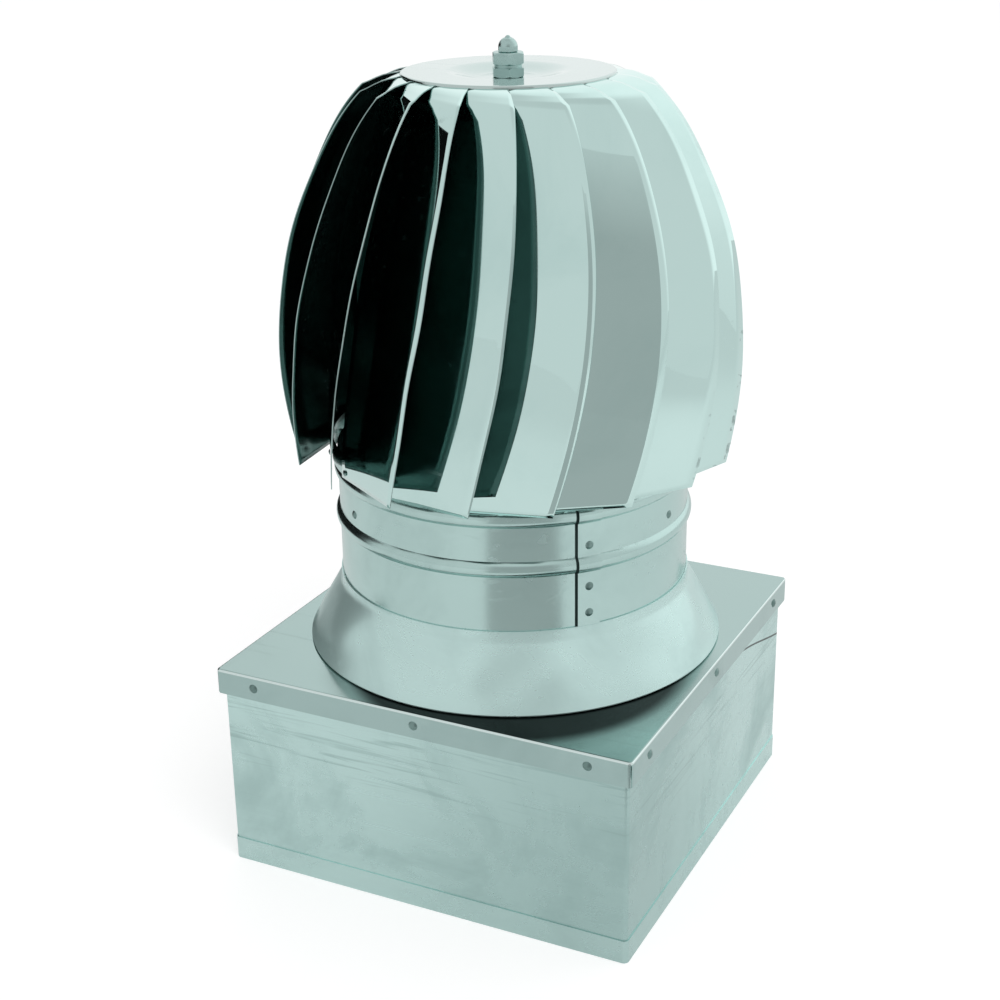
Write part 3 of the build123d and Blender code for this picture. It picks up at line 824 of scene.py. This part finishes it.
def make_cap_disc():
    """Dished disc over the strips' shoulders, softly bent and with its rim rolled down onto them."""
    top = []
    for step in range(DISC_STEPS + 1):
        radius = DISC_BORE + (DISC_RADIUS - RIM_BEND - DISC_BORE) * step / DISC_STEPS
        share = min(1, max(0, (radius - DISH_RADIUS) / (SLOPE_RADIUS - DISH_RADIUS)))
        top.append((radius, DISC_TOP - DISH_DEPTH * (1 - share**2 * (3 - 2 * share))))
    for step in range(1, 7):
        turn = math.radians(90 - 14 * step)
        radius = DISC_RADIUS - RIM_BEND * (1 - math.cos(turn))
        top.append((radius, DISC_TOP - RIM_BEND * (1 - math.sin(turn))))
    under = [(radius, height - NECK_SHEET) for radius, height in top[::-1]]
    mesh = turned_mesh("dished_cap_disc", top + under)
    add_piece("dished_cap_disc", mesh, "rotor", "cap_disc", ["disc"])


def make_rotor_ring():
    """Band that the strips are riveted to."""
    inside = RING_RADIUS - RING_SHEET
    top = RING_BOTTOM + RING_HEIGHT
    outline = [(RING_RADIUS, RING_BOTTOM), (RING_RADIUS, top), (inside, top), (inside, RING_BOTTOM)]
    mesh = turned_mesh("strip_ring", outline)
    add_piece("strip_ring", mesh, "rotor", "rotor_ring", ["neck"])


# ------------------------------------------------------------------ studio, in metres
FLOOR_HALF = 12.0
FLOOR_PAINT = 0.6
FLOOR_GLOW = 0.55
FLOOR_MIRRORED = 0.38
BACK_WALL_AZIMUTH = 80
BACK_WALL_RISE = 0.3
BACK_WALL_SPREAD = (0.35, 0.85)
CEILING_SPREAD = (0.86, 0.98)
BACK_LEVEL = 1.0
SIDE_LEVEL = 0.70
CEILING_LEVEL = 0.62
BLACK = 0.004
GREY_SECTOR = (-80, -38)
CARD_STEPS = 48
CARD_CHANGE = 0.55
MAT_HEIGHT = 0.001
LAMP_AIM = Vector((0, 0, 0.22))


def stage_material(name):
    """Empty material for a thing of the studio; returns it and its tree."""
    material = bpy.data.materials.new(name)
    material.use_nodes = True
    material.node_tree.nodes.clear()
    return material, Tree(material.node_tree)


def make_floor():
    """Pale floor that shows white to the camera and keeps the object's shadow."""
    half = FLOOR_HALF
    corners = [(-half, -half, 0), (half, -half, 0), (half, half, 0), (-half, half, 0)]
    mesh = bpy.data.meshes.new("floor")
    mesh.from_pydata(corners, [], [(0, 1, 2, 3)])
    floor = bpy.data.objects.new("floor", mesh)
    bpy.context.scene.collection.objects.link(floor)
    material, tree = stage_material("floor")
    path = tree.add("ShaderNodeLightPath")
    mirrored = tree.math("MULTIPLY", path.outputs["Is Glossy Ray"], FLOOR_MIRRORED)
    seen = tree.math("MAXIMUM", path.outputs["Is Camera Ray"], path.outputs["Is Transmission Ray"])
    seen = tree.math("MAXIMUM", seen, mirrored)
    paint = tree.add("ShaderNodeBsdfDiffuse", {"Color": (FLOOR_PAINT, FLOOR_PAINT, FLOOR_PAINT, 1)})
    glow = tree.add("ShaderNodeEmission", {"Strength": tree.math("MULTIPLY", seen, FLOOR_GLOW)})
    both = tree.add("ShaderNodeAddShader", {0: paint.outputs[0], 1: glow.outputs[0]})
    output = tree.add("ShaderNodeOutputMaterial")
    tree.set(output.inputs[0], both.outputs[0])
    mesh.materials.append(material)


def make_world():
    """White room: white to the camera; polished metal sees a bright back wall and greyer sides."""
    world = bpy.data.worlds.new("white_room")
    bpy.context.scene.world = world
    world.use_nodes = True
    world.node_tree.nodes.clear()
    tree = Tree(world.node_tree)
    seen = tree.add("ShaderNodeLightPath").outputs["Is Camera Ray"]
    direction = tree.add("ShaderNodeTexCoord").outputs["Generated"]
    turn = math.radians(BACK_WALL_AZIMUTH)
    back = (math.cos(turn), math.sin(turn), BACK_WALL_RISE)
    facing = tree.add("ShaderNodeVectorMath", {0: direction, 1: back}, operation="DOT_PRODUCT")
    wall = tree.spread(facing.outputs["Value"], *BACK_WALL_SPREAD, SIDE_LEVEL, BACK_LEVEL)
    rise = tree.add("ShaderNodeSeparateXYZ", {0: direction}).outputs[2]
    above = tree.spread(rise, *CEILING_SPREAD)
    wall = tree.math("MULTIPLY", wall, tree.math("SUBTRACT", 1.0, above))
    level = tree.math("ADD", wall, tree.math("MULTIPLY", above, CEILING_LEVEL))
    light = tree.add("ShaderNodeBackground", {"Color": (1, 1, 1, 1), "Strength": level})
    white = tree.add("ShaderNodeBackground", {"Color": (1, 1, 1, 1), "Strength": 1.0})
    both = tree.add("ShaderNodeMixShader", {0: seen, 1: light.outputs[0], 2: white.outputs[0]})
    output = tree.add("ShaderNodeOutputWorld")
    tree.set(output.inputs[0], both.outputs[0])


def make_glow(name, corners, faces, level_of):
    """Glowing studio surface that is hidden from all but reflections."""
    mesh = bpy.data.meshes.new(name)
    mesh.from_pydata(corners, [], faces)
    card = bpy.data.objects.new(name, mesh)
    bpy.context.scene.collection.objects.link(card)
    material, tree = stage_material(name)
    glow = tree.add("ShaderNodeEmission", {"Color": (1, 1, 1, 1)})
    tree.set(glow.inputs["Strength"], level_of(tree))
    output = tree.add("ShaderNodeOutputMaterial")
    tree.set(output.inputs[0], glow.outputs[0])
    mesh.materials.append(material)
    card.visible_camera = False
    card.visible_diffuse = False
    card.visible_shadow = False
    card.visible_transmission = False


def arc_turns(sector):
    """Evenly spaced angles of a card or mat in a sector, in radians from degrees."""
    start, end = sector
    return [math.radians(start + (end - start) * step / CARD_STEPS) for step in range(CARD_STEPS + 1)]


def make_mat(name, sector, near, far, level):
    """Flat studio mat on the floor that only polished metal sees."""
    corners = []
    for turn in arc_turns(sector):
        for radius in (near, far):
            corners.append((radius * math.cos(turn), radius * math.sin(turn), MAT_HEIGHT))
    faces = [(2 * step, 2 * step + 1, 2 * step + 3, 2 * step + 2) for step in range(CARD_STEPS)]
    make_glow(name, corners, faces, lambda tree: level)


def make_card(name, sector, radius, high, level, level_above):
    """Curved studio card that only polished metal sees, with its own level at the upper edge."""
    corners = []
    for turn in arc_turns(sector):
        for height in (0.0, high):
            corners.append((radius * math.cos(turn), radius * math.sin(turn), height))
    faces = [(2 * step, 2 * step + 2, 2 * step + 3, 2 * step + 1) for step in range(CARD_STEPS)]

    def level_at(tree):
        place = tree.add("ShaderNodeTexCoord").outputs["Object"]
        height = tree.add("ShaderNodeSeparateXYZ", {0: place}).outputs[2]
        return tree.spread(height, CARD_CHANGE * high, high, level, level_above)

    make_glow(name, corners, faces, level_at)


def make_lamp(name, place, size, power):
    """Soft area lamp aimed at the middle of the object."""
    lamp = bpy.data.objects.new(name, bpy.data.lights.new(name, "AREA"))
    lamp.data.size = size
    lamp.data.energy = power
    lamp.location = place
    aim = LAMP_AIM - Vector(place)
    lamp.rotation_euler = aim.to_track_quat("-Z", "Y").to_euler()
    lamp.visible_glossy = False
    bpy.context.scene.collection.objects.link(lamp)


# ------------------------------------------------------------------ the scene
make_camera()
dress_nodes()
for number in range(1, BLADES + 1):
    make_blade(number)
make_neck()
make_skirt()
make_cap_disc()
make_rotor_ring()
make_floor()
make_world()
make_card("dark_card", (142, 199), radius=0.88, high=0.80, level=BLACK, level_above=BLACK)
make_card("low_dark_card", (115, 142), radius=0.88, high=0.36, level=BLACK, level_above=BLACK)
make_card("grey_card", GREY_SECTOR, radius=2.5, high=2.2, level=0.42, level_above=0.60)
make_mat("grey_mat", GREY_SECTOR, near=0.35, far=2.5, level=0.43)
make_lamp("key_lamp", place=(1.2, -1.0, 1.8), size=1.2, power=12)
bpy.context.scene.view_settings.view_transform = "Standard"
